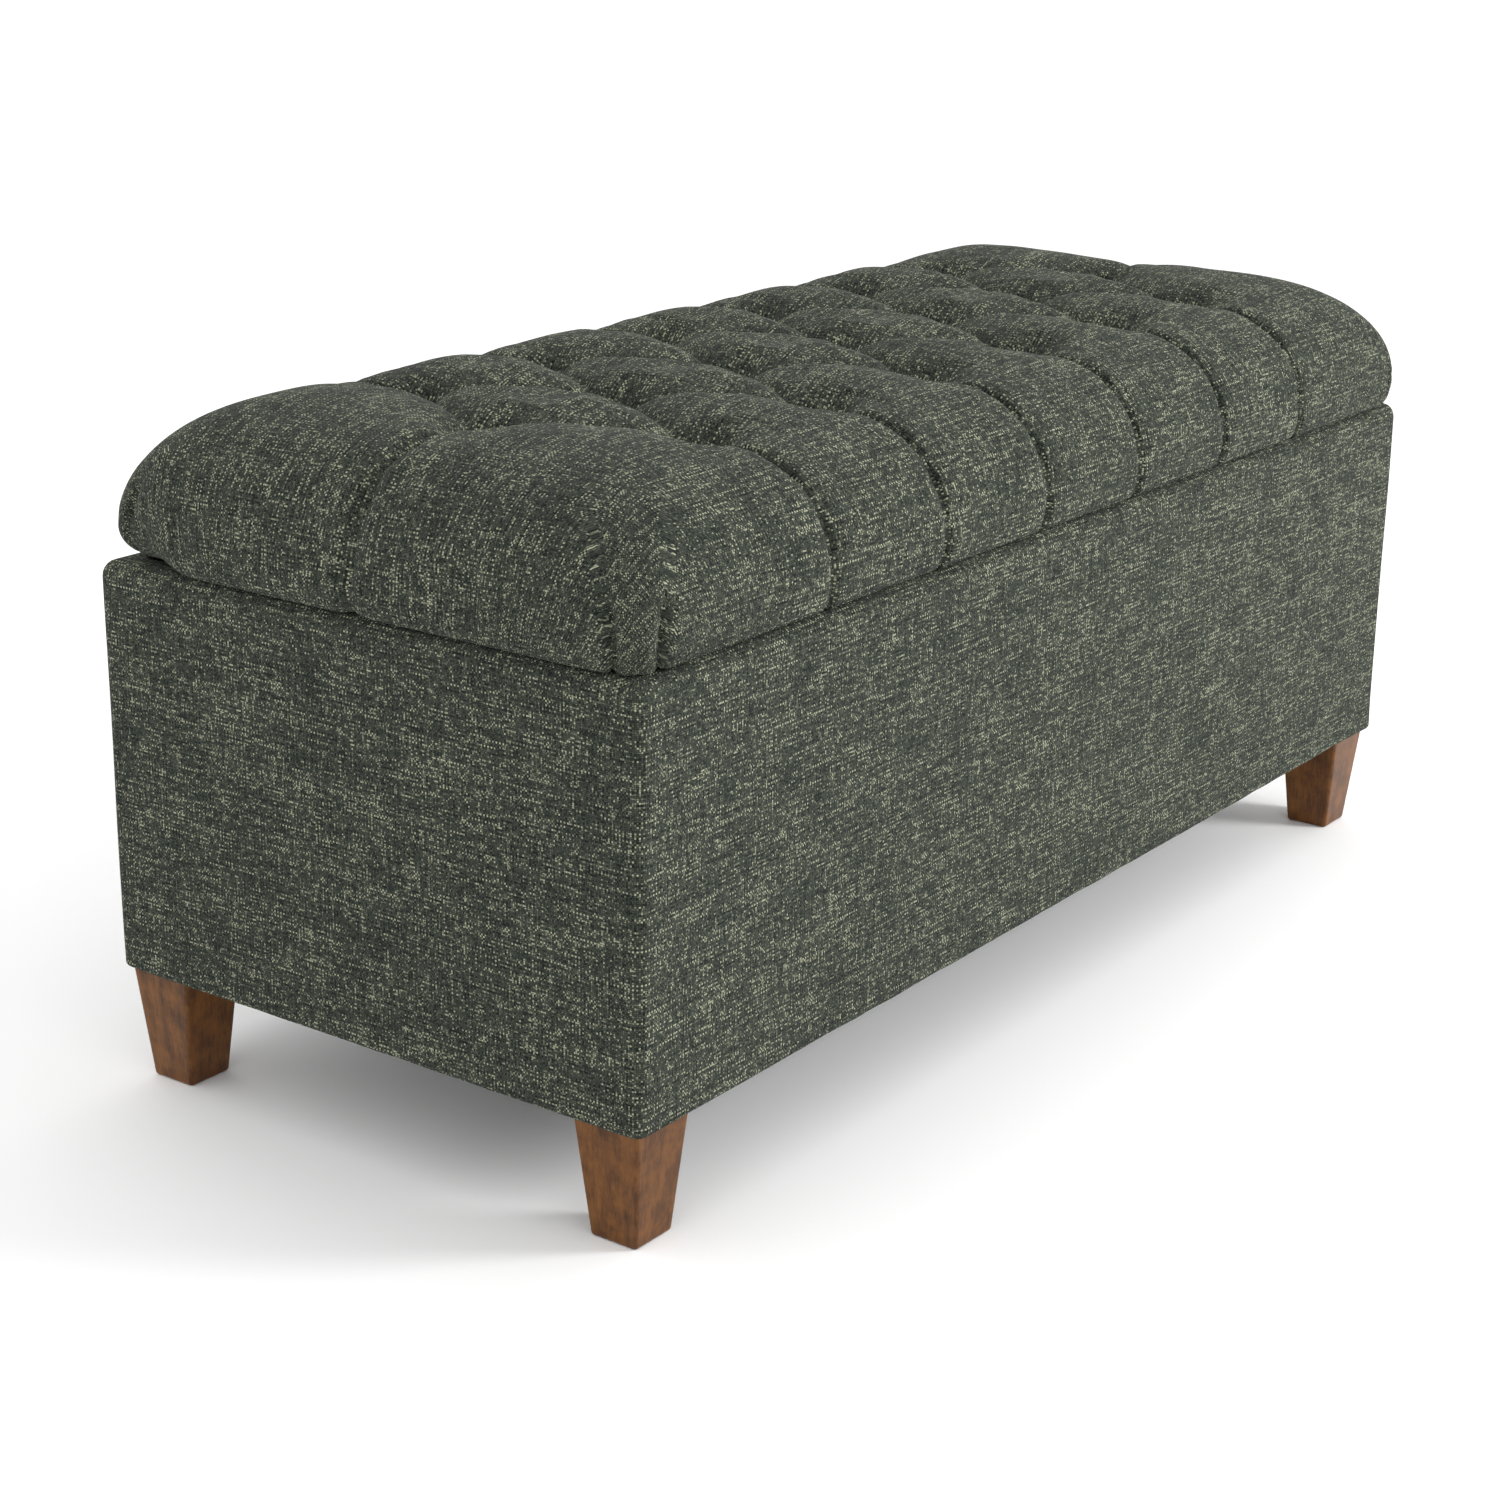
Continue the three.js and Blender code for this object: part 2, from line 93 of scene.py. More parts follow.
def make_studio():
    middle = (0, 0, 0.3)
    area_light("key_light", (1.6, -2.8, 1.7), middle, 1.0, 75)
    area_light("top_light", (0.3, 0.6, 3.0), middle, 1.6, 4)
    area_light("end_light", (-3.2, -0.4, 1.4), middle, 1.8, 4)
    area_light("back_light", (0.8, 3.0, 1.8), middle, 1.8, 6)

    bm = bmesh.new()
    bmesh.ops.create_grid(bm, x_segments=2, y_segments=2, size=30)
    mesh = bpy.data.meshes.new("studio_floor")
    bm.to_mesh(mesh)
    bm.free()
    floor = bpy.data.objects.new("studio_floor", mesh)
    scene.collection.objects.link(floor)
    paint = bpy.data.materials.new("pale_floor")
    paint.use_nodes = True
    shader = paint.node_tree.nodes["Principled BSDF"]
    shader.inputs["Base Color"].default_value = (0.95, 0.95, 0.95, 1)
    shader.inputs["Roughness"].default_value = 0.9
    mesh.materials.append(paint)

    world = bpy.data.worlds.new("studio")
    world.use_nodes = True
    backdrop = world.node_tree.nodes["Background"]
    backdrop.inputs["Color"].default_value = (1, 1, 1, 1)
    backdrop.inputs["Strength"].default_value = 1.1
    scene.world = world
    scene.view_settings.view_transform = "Standard"


# ---- Shader helpers ----

class Nodes:
    """Short hand for building one node tree."""

    def __init__(self, tree):
        self.tree = tree

    def add(self, kind, **settings):
        node = self.tree.nodes.new(kind)
        for name, value in settings.items():
            setattr(node, name, value)
        return node

    def wire(self, source, target):
        if isinstance(source, bpy.types.NodeSocket):
            self.tree.links.new(source, target)
        else:
            target.default_value = source

    def math(self, operation, *values, clamp=False):
        node = self.add("ShaderNodeMath", operation=operation, use_clamp=clamp)
        for socket, value in zip(node.inputs, values):
            self.wire(value, socket)
        return node.outputs[0]

    def mix(self, factor, a, b, blend="MIX"):
        node = self.add("ShaderNodeMix", data_type="RGBA", blend_type=blend)
        for name, value in (("Factor_Float", factor), ("A_Color", a), ("B_Color", b)):
            socket = next(s for s in node.inputs if s.identifier == name)
            self.wire(value, socket)
        return next(s for s in node.outputs if s.identifier == "Result_Color")

    def noise(self, vector, scale, detail=2.0, roughness=0.5, dimensions="3D"):
        node = self.add("ShaderNodeTexNoise", noise_dimensions=dimensions)
        self.wire(vector, node.inputs["Vector"])
        self.wire(scale, node.inputs["Scale"])
        node.inputs["Detail"].default_value = detail
        node.inputs["Roughness"].default_value = roughness
        return node.outputs["Fac"]

    def combine(self, x, y, z=0.0):
        node = self.add("ShaderNodeCombineXYZ")
        for socket, value in zip(node.inputs, (x, y, z)):
            self.wire(value, socket)
        return node.outputs[0]

    def split(self, vector):
        node = self.add("ShaderNodeSeparateXYZ")
        self.wire(vector, node.inputs[0])
        return node.outputs

    def ramp(self, factor, low, high):
        """A smooth step from 0 at low to 1 at high."""
        node = self.add("ShaderNodeMapRange", interpolation_type="SMOOTHSTEP")
        self.wire(factor, node.inputs["Value"])
        self.wire(low, node.inputs["From Min"])
        self.wire(high, node.inputs["From Max"])
        return node.outputs["Result"]


def new_group(name, inputs, outputs):
    tree = bpy.data.node_groups.new(name, "ShaderNodeTree")
    for label, kind, value in inputs:
        socket = tree.interface.new_socket(label, in_out="INPUT", socket_type=kind)
        if value is not None:
            socket.default_value = value
    for label, kind in outputs:
        tree.interface.new_socket(label, in_out="OUTPUT", socket_type=kind)
    made = Nodes(tree)
    return made, made.add("NodeGroupInput").outputs, made.add("NodeGroupOutput").inputs


COLOR, FLOAT, VECTOR = "NodeSocketColor", "NodeSocketFloat", "NodeSocketVector"


def weave_group():
    """Plain weave of slubby mixed yarns, with painted shade in the gaps between threads. Cloth is in
    metres, along the two threads.
    """
    n, given, out = new_group(
        "slub_weave",
        [
            ("Cloth", VECTOR, None),
            ("Pitch", FLOAT, 0.0014),
            ("Dark", COLOR, (0.006, 0.009, 0.0075, 1)),
            ("Middle", COLOR, (0.047, 0.055, 0.042, 1)),
            ("Light", COLOR, (0.36, 0.375, 0.26, 1)),
        ],
        [("Color", COLOR), ("Height", FLOAT)],
    )
    u, v, _ = n.split(given["Cloth"])
    across = n.math("DIVIDE", u, given["Pitch"])
    along = n.math("DIVIDE", v, given["Pitch"])
    warp_number, weft_number = n.math("FLOOR", across), n.math("FLOOR", along)
    parity = n.math("FLOORED_MODULO", n.math("ADD", warp_number, weft_number), 2.0)

    def yarn(number, run, stretch, seed):
        """How light one yarn is at each place along its run."""
        spot = n.combine(n.math("MULTIPLY", run, stretch), n.math("MULTIPLY", number, 0.731), seed)
        fleck = n.noise(spot, 1.0, detail=3.0, roughness=0.75)
        slow_run = n.math("MULTIPLY", run, stretch * 0.16)
        slow = n.combine(slow_run, n.math("MULTIPLY", number, 1.37), seed + 5)
        slub = n.noise(slow, 1.0, detail=2.0, roughness=0.6)
        return n.math("ADD", n.math("MULTIPLY", fleck, 0.62), n.math("MULTIPLY", slub, 0.38))

    weft = n.math("ADD", yarn(weft_number, across, 0.2, 3.0), 0.012)
    warp = n.math("SUBTRACT", yarn(warp_number, along, 0.34, 17.0), 0.012)
    shown_weft = n.math("MULTIPLY", weft, n.math("SUBTRACT", 1.0, parity))
    lightness = n.math("ADD", shown_weft, n.math("MULTIPLY", warp, parity))
    cloud = n.noise(given["Cloth"], 24.0, detail=3.0, roughness=0.6)
    lightness = n.math("ADD", lightness, n.math("MULTIPLY", n.math("SUBTRACT", cloud, 0.5), 0.07))
    color = n.mix(n.ramp(lightness, 0.40, 0.52), given["Dark"], given["Middle"])
    color = n.mix(n.ramp(lightness, 0.52, 0.62), color, given["Light"])

    def bow(position):
        """The round of a thread: 1 on its middle and 0 between two threads."""
        off = n.math("ABSOLUTE", n.math("SUBTRACT", n.math("FRACT", position), 0.5))
        return n.math("SUBTRACT", 1.0, n.math("MULTIPLY", n.math("MULTIPLY", off, off), 4.0))

    round_height = n.math("MULTIPLY", bow(across), bow(along))
    # Painted shade: the colour goes near black in the gaps between threads, where their rounds would
    # shade each other
    gap_shade = n.ramp(round_height, 0.0, 0.35)
    n.wire(n.mix(gap_shade, (0.012, 0.014, 0.012, 1), color), out["Color"])
    n.wire(n.math("ADD", round_height, n.math("MULTIPLY", lightness, 0.8)), out["Height"])
    return n.tree


def new_material(name, roughness, metallic=0.0):
    material = bpy.data.materials.new(name)
    material.use_nodes = True
    n = Nodes(material.node_tree)
    shader = material.node_tree.nodes["Principled BSDF"]
    shader.inputs["Roughness"].default_value = roughness
    shader.inputs["Metallic"].default_value = metallic
    return material, n, shader


def use_group(n, tree, **values):
    node = n.add("ShaderNodeGroup", node_tree=tree)
    for name, value in values.items():
        n.wire(value, node.inputs[name])
    return node.outputs


def bump(n, shader, height, distance, strength=1.0):
    node = n.add("ShaderNodeBump")
    node.inputs["Distance"].default_value = distance
    node.inputs["Strength"].default_value = strength
    n.wire(height, node.inputs["Height"])
    n.wire(node.outputs[0], shader.inputs["Normal"])


def upholstery(weave):
    material, n, shader = new_material("upholstery_tweed", 0.92)
    cloth = n.add("ShaderNodeUVMap", uv_map="cloth").outputs[0]
    made = use_group(n, weave, Cloth=cloth)
    n.wire(made["Color"], shader.inputs["Base Color"])
    bump(n, shader, made["Height"], 0.0004, 0.6)
    shader.inputs["Sheen Weight"].default_value = 0.03
    shader.inputs["Sheen Roughness"].default_value = 0.6
    shader.inputs["Specular IOR Level"].default_value = 0.1
    return material


def grain_group():
    """Wood grain that runs along Z: pores, soft bands and blotches of stain."""
    n, given, out = new_group(
        "wood_grain",
        [
            ("Place", VECTOR, None),
            ("Dark", COLOR, (0.05, 0.02, 0.01, 1)),
            ("Light", COLOR, (0.25, 0.12, 0.05, 1)),
        ],
        [("Color", COLOR), ("Height", FLOAT)],
    )
    x, y, z = n.split(given["Place"])
    stretched = n.combine(x, y, n.math("MULTIPLY", z, 0.09))
    bands = n.noise(stretched, 90.0, detail=4.0, roughness=0.6)
    pores = n.noise(stretched, 900.0, detail=3.0, roughness=0.7)
    blotch = n.noise(given["Place"], 55.0, detail=4.0, roughness=0.65)
    tone = n.math("ADD", n.math("MULTIPLY", bands, 0.5), n.math("MULTIPLY", blotch, 0.5))
    tone = n.math("ADD", tone, n.math("MULTIPLY", n.math("SUBTRACT", pores, 0.5), 0.35))
    n.wire(n.mix(n.ramp(tone, 0.33, 0.68), given["Dark"], given["Light"]), out["Color"])
    n.wire(pores, out["Height"])
    return n.tree


def stained_wood(grain):
    material, n, shader = new_material("stained_leg_wood", 0.4)
    place = n.add("ShaderNodeTexCoord").outputs["Object"]
    made = use_group(n, grain, Place=place, Dark=(0.055, 0.018, 0.003, 1), Light=(0.18, 0.068, 0.012, 1))
    n.wire(made["Color"], shader.inputs["Base Color"])
    n.wire(n.math("ADD", n.math("MULTIPLY", made["Height"], 0.25), 0.28), shader.inputs["Roughness"])
    bump(n, shader, made["Height"], 0.00015, 0.5)
    shader.inputs["Coat Weight"].default_value = 0.06
    shader.inputs["Coat Roughness"].default_value = 0.3
    shader.inputs["Specular IOR Level"].default_value = 0.25
    return material


def plywood_finish(grain):
    material, n, shader = new_material("bare_plywood", 0.75)
    x, y, z = n.split(n.add("ShaderNodeTexCoord").outputs["Object"])
    made = use_group(
        n, grain, Place=n.combine(y, z, x), Dark=(0.36, 0.22, 0.11, 1), Light=(0.62, 0.45, 0.26, 1)
    )
    n.wire(made["Color"], shader.inputs["Base Color"])
    bump(n, shader, made["Height"], 0.0001, 0.4)
    return material


def bonded_cloth():
    """Black bonded lining cloth, with its small grid of pressed dots."""
    material, n, shader = new_material("bonded_lining", 0.85)
    place = n.add("ShaderNodeTexCoord").outputs["Object"]
    fibres = n.noise(place, 1400.0, detail=3.0, roughness=0.7)
    cloud = n.noise(place, 30.0, detail=3.0)
    dots = n.add("ShaderNodeTexVoronoi", feature="F1")
    n.wire(place, dots.inputs["Vector"])
    dots.inputs["Scale"].default_value = 620.0
    dots.inputs["Randomness"].default_value = 0.15
    pressed = n.ramp(dots.outputs["Distance"], 0.2, 0.45)
    tone = n.math("ADD", n.math("MULTIPLY", fibres, 0.7), n.math("MULTIPLY", cloud, 0.3))
    n.wire(n.mix(tone, (0.010, 0.010, 0.011, 1), (0.045, 0.045, 0.047, 1)), shader.inputs["Base Color"])
    bump(n, shader, n.math("ADD", pressed, n.math("MULTIPLY", fibres, 0.5)), 0.0003, 0.5)
    return material


def zinc_steel():
    material, n, shader = new_material("zinc_plated_steel", 0.35, metallic=1.0)
    x, y, z = n.split(n.add("ShaderNodeTexCoord").outputs["Object"])
    brushed = n.noise(n.combine(n.math("MULTIPLY", x, 6.0), y, z), 900.0, detail=3.0)
    stain = n.noise(n.combine(x, y, z), 120.0, detail=4.0)
    n.wire(n.mix(stain, (0.42, 0.42, 0.43, 1), (0.62, 0.62, 0.62, 1)), shader.inputs["Base Color"])
    n.wire(n.math("ADD", n.math("MULTIPLY", brushed, 0.25), 0.22), shader.inputs["Roughness"])
    bump(n, shader, brushed, 0.00005, 0.3)
    return material


def bumper_rubber():
    material, n, shader = new_material("black_rubber", 0.8)
    place = n.add("ShaderNodeTexCoord").outputs["Object"]
    speck = n.noise(place, 1500.0, detail=3.0)
    n.wire(n.mix(speck, (0.01, 0.01, 0.01, 1), (0.03, 0.03, 0.03, 1)), shader.inputs["Base Color"])
    bump(n, shader, speck, 0.0001, 0.4)
    return material


# ---- Mesh helpers ----

def mesh_piece(name, bm, material, body, replaced=(), smooth=True):
    mesh = bpy.data.meshes.new(name)
    for face in bm.faces:
        face.smooth = smooth
    bm.to_mesh(mesh)
    bm.free()
    mesh.materials.append(material)
    piece = bpy.data.objects.new(name, mesh)
    scene.collection.objects.link(piece)
    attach(piece, body)
    if replaced:
        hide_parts(*replaced)
    return piece


def points_of(mesh):
    places = np.empty(len(mesh.vertices) * 3)
    mesh.vertices.foreach_get("co", places)
    return places.reshape(-1, 3)


def put_points(mesh, places):
    mesh.vertices.foreach_set("co", places.ravel())
    mesh.update()


def ripple(places, size, seed):
    """Smooth three-way noise between -1 and 1, whose waves are about size long."""
    offset = Vector((seed * 7.3, seed * 3.1, seed * 5.7))
    return np.array([noise.noise_vector(Vector(p) / size + offset) for p in places])


def smoothstep(x, low, high):
    t = np.clip((x - low) / (high - low), 0, 1)
    return t * t * (3 - 2 * t)


# ---- The tufted lid ----

# The crown: how far it runs in from the edge, how square its curve is, how far the front
# stands proud of the CAD lid, and the roll and lip at its bottom
CROWN_WIDTH = 130 * MM
CROWN_FULLNESS = 2.2
LID_PROUD = 5 * MM
ROLL_RADIUS = 20 * MM
LIP_INSET = 8 * MM
LIP_DROP = 4 * MM
LIP_TUCK = 6 * MM
HEM_INSET = 38 * MM
# The power that rounds the plan's corners: at the top, and what is added down at the hem
TOP_POWER = 3.5
ADDED_POWER = 9.0
# Grid cells from one row of buttons to the next, both ways
CELLS = 11
# The folds and the hollows round the buttons
TUFT_DEPTH = 42 * MM
FOLD_SHARPNESS = 2.3
FOLD_REACH = 56 * MM
FOLD_DEPTH = 12 * MM
FOLD_DEPTH_AT_BUTTON = 24 * MM
PLEAT_DEPTH = 1.2 * MM
CREASE_DEPTH = 3.0 * MM
PLEAT_CREASE_DEPTH = 4.2 * MM
WRINKLE_HEIGHT = 0.7 * MM
WRINKLE_LENGTH = 3.2 * MM
LUMP_SIZE = 38 * MM
LUMP_HEIGHT = 0.8 * MM
# The two darts at each corner: how far they are from it, their height and depth, and how
# far past the flat middle a corner starts
DART_AWAY = 33 * MM
DART_HEIGHT = 60 * MM
DART_DEPTH = 8 * MM
CORNER_START = 30 * MM
# The cloth simulation: pressure, how much larger the cloth is cut, and the most it may move
SEAT_PRESSURE = 2.5
SEAT_GROWTH = 0.01
SEAT_CAP = 4 * MM
FRAMES = 20
lid_low, lid_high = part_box("seat_cover")
HALF_LENGTH, HALF_WIDTH = lid_high.x, lid_high.y
HEM_HEIGHT = lid_low.z + 0.1 * MM
CROWN_TOP = lid_high.z
FLAT = np.array([HALF_LENGTH - CROWN_WIDTH, HALF_WIDTH - CROWN_WIDTH])


def crown_profile(proud, lip_inset, lip_height):
    """The upright outline from the flat middle out, down, under the roll and along the hem.

    Gives the length along it, the distance out from the flat middle and the height."""
    widest = lid_low.z + ROLL_RADIUS
    reach = CROWN_WIDTH + proud
    turn = np.linspace(0, math.pi / 2, 200)
    rise, fall = np.sin(turn) ** (2 / CROWN_FULLNESS), np.cos(turn) ** (2 / CROWN_FULLNESS)
    out = [reach * rise]
    height = [widest + (CROWN_TOP - widest) * fall]
    turn = turn[1::4]
    out.append(reach - lip_inset * (1 - np.cos(turn)))
    height.append(widest - (widest - lip_height) * np.sin(turn))
    tuck = np.linspace(0, 1, 12)[1:]
    out.append(reach - lip_inset - LIP_TUCK * tuck)
    height.append(lip_height + (HEM_HEIGHT - lip_height) * tuck**1.5)
    hem = np.linspace(0, 1, 20)[1:]
    start = reach - lip_inset - LIP_TUCK
    out.append(start + (CROWN_WIDTH - HEM_INSET - start) * hem)
    height.append(HEM_HEIGHT + 0 * hem)
    out, height = np.concatenate(out), np.concatenate(height)
    steps = np.hypot(np.diff(out), np.diff(height))
    return np.concatenate([[0], np.cumsum(steps)]), out, height


FRONT_PROFILE = crown_profile(LID_PROUD, LIP_INSET, lid_low.z - LIP_DROP)
BACK_PROFILE = crown_profile(0, ROLL_RADIUS - 1 * MM, HEM_HEIGHT)
PROFILE_LENGTH = FRONT_PROFILE[0][-1]


def tuft_places():
    """Where the buttons are, as (x, y), from the frame."""
    places = []
    for name in sorted(nodes):
        if name.startswith("tuft_button"):
            low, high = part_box(name)
            places.append(((low.x + high.x) / 2, (low.y + high.y) / 2))
    return places


def gathered_past(past):
    """How far down the crown a point is: the larger of its two ways, rounded at the corners."""
    most = past.max(1)
    power = TOP_POWER + ADDED_POWER * np.clip(most / PROFILE_LENGTH, 0, 1) ** 1.5
    share = past / np.maximum(most, 1e-9)[:, None]
    return most * (share ** power[:, None]).sum(1) ** (1 / power)


def crowned(cloth):
    """Lays points of the flat cloth over the crown, and gives each point's way down it."""
    past = np.maximum(np.abs(cloth) - FLAT, 0)
    gathered = gathered_past(past)
    share = past / np.maximum(gathered, 1e-9)[:, None]
    laid = []
    for length, out, height in (FRONT_PROFILE, BACK_PROFILE):
        at = gathered * length[-1] / PROFILE_LENGTH
        radius = np.interp(at, length, out)
        plan = np.sign(cloth) * (np.minimum(np.abs(cloth), FLAT) + share * radius[:, None])
        laid.append(np.column_stack([plan, np.interp(at, length, height)]))
    back = smoothstep(cloth[:, 1], HALF_WIDTH - 60 * MM, HALF_WIDTH + 10 * MM)[:, None]
    return laid[0] * (1 - back) + laid[1] * back, gathered


def fold_lines(tufts, reach):
    """Folds on the flat cloth: diagonals between buttons of neighbouring rows, and pleats
    from the outer buttons straight to the nearest edge. Each is (start, end, is_pleat)."""
    pitch = 2 * min(abs(x) for x, y in tufts if abs(y) > MM)
    lines = []
    for x, y in tufts:
        if abs(y) < MM:
            for x2, y2 in tufts:
                if abs(y2) > MM and abs(abs(x - x2) - pitch / 2) < MM:
                    lines.append(((x, y), (x2, y2), False))
            if abs(x) > 2.9 * pitch:
                lines.append(((x, y), (math.copysign(reach[0], x), y), True))
        else:
            lines.append(((x, y), (x, math.copysign(reach[1], y)), True))
    return lines


def line_place(cloth, line):
    """How far each point is along a fold and to its side (signed)."""
    start, end = np.array(line[0]), np.array(line[1])
    run = np.linalg.norm(end - start)
    way = (end - start) / run
    along = np.clip((cloth - start) @ way, 0, run)
    gap = cloth - start - along[:, None] * way
    side = np.where(gap @ np.array([-way[1], way[0]]) < 0, -1, 1)
    return along, np.linalg.norm(gap, axis=1) * side, run


def fold_depth(cloth, lines):
    """How far the folds pull the cloth in, as broad valleys between the pillows."""
    total = np.zeros(len(cloth))
    for line in lines:
        along, off, run = line_place(cloth, line)
        if line[2]:
            depth = PLEAT_DEPTH + 9 * MM * np.exp(-along / (42 * MM))
            depth += 26 * MM * np.exp(-along / (19 * MM))
            reach = 14 * MM + 38 * MM * np.exp(-along / (50 * MM))
        else:
            near = np.minimum(along, run - along)
            depth = FOLD_DEPTH + FOLD_DEPTH_AT_BUTTON * np.exp(-near / (24 * MM))
            reach = FOLD_REACH
        wall = np.clip(1 - np.abs(off) / reach, 0, 1) ** FOLD_SHARPNESS
        total += (depth * wall) ** 4
    return total**0.25


def crease_depth(cloth, lines):
    """The narrow crease at the bottom of each fold, with one lip lying over the other."""
    total = np.zeros(len(cloth))
    for line in lines:
        along, off, run = line_place(cloth, line)
        near = along if line[2] else np.minimum(along, run - along)
        depth = (PLEAT_CREASE_DEPTH if line[2] else CREASE_DEPTH) * smoothstep(near, 0, 12 * MM)
        width = np.where(off > 0, 3.2 * MM, 5.0 * MM)
        total = np.maximum(total, depth * np.exp(-((off / width) ** 2)))
    return total


def side_wrinkles(cloth, lines):
    """Fine wrinkles that run beside the folds and die away from the buttons."""
    total = np.zeros(len(cloth))
    for number, line in enumerate(lines):
        along, off, run = line_place(cloth, line)
        near = along if line[2] else np.minimum(along, run - along)
        fade = np.exp(-((near - 16 * MM) ** 2) / (2 * (20 * MM) ** 2))
        fade *= np.exp(-np.abs(off) / (13 * MM))
        spread = 1 + near / (55 * MM)
        shift = 1.7 * number + 2.5 * np.sin(along / (31 * MM) + number)
        total += fade * np.sin(np.abs(off) / (WRINKLE_LENGTH * spread) + shift) * WRINKLE_HEIGHT
    return total


def tuft_hollow(cloth, tufts):
    """The funnel round each button, with small gathers radiating from it."""
    total = np.zeros(len(cloth))
    for number, (x, y) in enumerate(tufts):
        away = np.hypot(cloth[:, 0] - x, cloth[:, 1] - y)
        turn = np.arctan2(cloth[:, 1] - y, cloth[:, 0] - x)
        gathers = np.sin(9 * turn + number) + 0.6 * np.sin(14 * turn + 2.3 * number)
        past = np.maximum(away - 8 * MM, 0)
        funnel = TUFT_DEPTH * np.exp(-((past / (15 * MM)) ** 1.05))
        ring = np.exp(-(((away - 18 * MM) / (9 * MM)) ** 2))
        total = np.maximum(total, funnel + gathers * ring * 0.9 * MM)
    return total


def dart_place(cloth):
    """Each point's way across the nearest corner of the lid, and its way down the crown."""
    past = np.maximum(np.abs(cloth) - FLAT, 0)
    down = gathered_past(past)
    return past[:, 0] - past[:, 1], down


def dart_depth(cloth, lip):
    """How deep the darts are. lip is the crown's length down to the bottom of its roll."""
    across, down = dart_place(cloth)
    corner = (np.abs(cloth) - FLAT).min(1) > CORNER_START
    up = lip - down
    inside = smoothstep(up, DART_HEIGHT, DART_HEIGHT - 22 * MM) * corner
    off = np.abs(across) - DART_AWAY
    width = np.where(off > 0, 2.8 * MM, 5.0 * MM)
    return inside * DART_DEPTH * np.exp(-((off / width) ** 2))


def bias_cloth(cloth, lip):
    """Cloth co-ordinates for the weave: across each corner the cloth turns to 45 degrees."""
    past = np.maximum(np.abs(cloth) - FLAT, 0)
    across, _ = dart_place(cloth)
    corner = smoothstep(past.min(1), 40 * MM, 110 * MM)
    inside = corner * smoothstep(np.abs(across), DART_AWAY + 3 * MM, DART_AWAY - 2 * MM)
    middle = past.sum(1) / 2
    turned = np.column_stack([middle + across * 0.707, middle - across * 0.707])
    mixed = past * (1 - inside[:, None]) + turned * inside[:, None]
    return np.sign(cloth) * (np.minimum(np.abs(cloth), FLAT) + mixed)


def near_lines(cloth, lines, lip):
    """Which points are near enough to a fold or dart to need finer faces."""
    near = np.zeros(len(cloth), bool)
    for line in lines:
        near |= np.abs(line_place(cloth, line)[1]) < 9 * MM
    across, down = dart_place(cloth)
    corner = (np.abs(cloth) - FLAT).min(1) > CORNER_START
    beside = np.abs(np.abs(across) - DART_AWAY) < 10 * MM
    near |= corner & beside & (lip - down < DART_HEIGHT + 8 * MM)
    return near


def vertex_normals(mesh):
    normals = np.empty(len(mesh.vertices) * 3)
    mesh.vertices.foreach_get("normal", normals)
    return normals.reshape(-1, 3)


def inflate(piece, free, pressure, growth, cap):
    """Lets the cloth swell and wrinkle between what holds it; free is 0 where it is held."""
    mesh = piece.data
    before = points_of(mesh)
    copy = piece.copy()
    copy.data = mesh.copy()
    scene.collection.objects.link(copy)
    held = copy.vertex_groups.new(name="held")
    for index, share in enumerate(free):
        if share < 0.999:
            held.add([index], 1 - share, "REPLACE")
    cloth = copy.modifiers.new("cloth", "CLOTH")
    settings = cloth.settings
    settings.quality = 6
    settings.mass = 0.3
    settings.tension_stiffness = 15
    settings.compression_stiffness = 15
    settings.shear_stiffness = 5
    settings.bending_stiffness = 0.4
    settings.vertex_group_mass = "held"
    settings.pin_stiffness = 3
    settings.shrink_min = -growth
    settings.use_pressure = True
    settings.uniform_pressure_force = pressure
    settings.effector_weights.gravity = 0
    cloth.collision_settings.use_collision = False
    cloth.point_cache.frame_start = 1
    cloth.point_cache.frame_end = FRAMES
    for frame_number in range(1, FRAMES + 1):
        scene.frame_set(frame_number)
    shape = copy.evaluated_get(bpy.context.evaluated_depsgraph_get())
    moved = points_of(shape.data) - before
    scene.frame_set(1)
    bpy.data.objects.remove(copy)
    size = np.linalg.norm(moved, axis=1)
    moved *= (np.minimum(size, cap) / np.maximum(size, 1e-9))[:, None]
    return before + moved


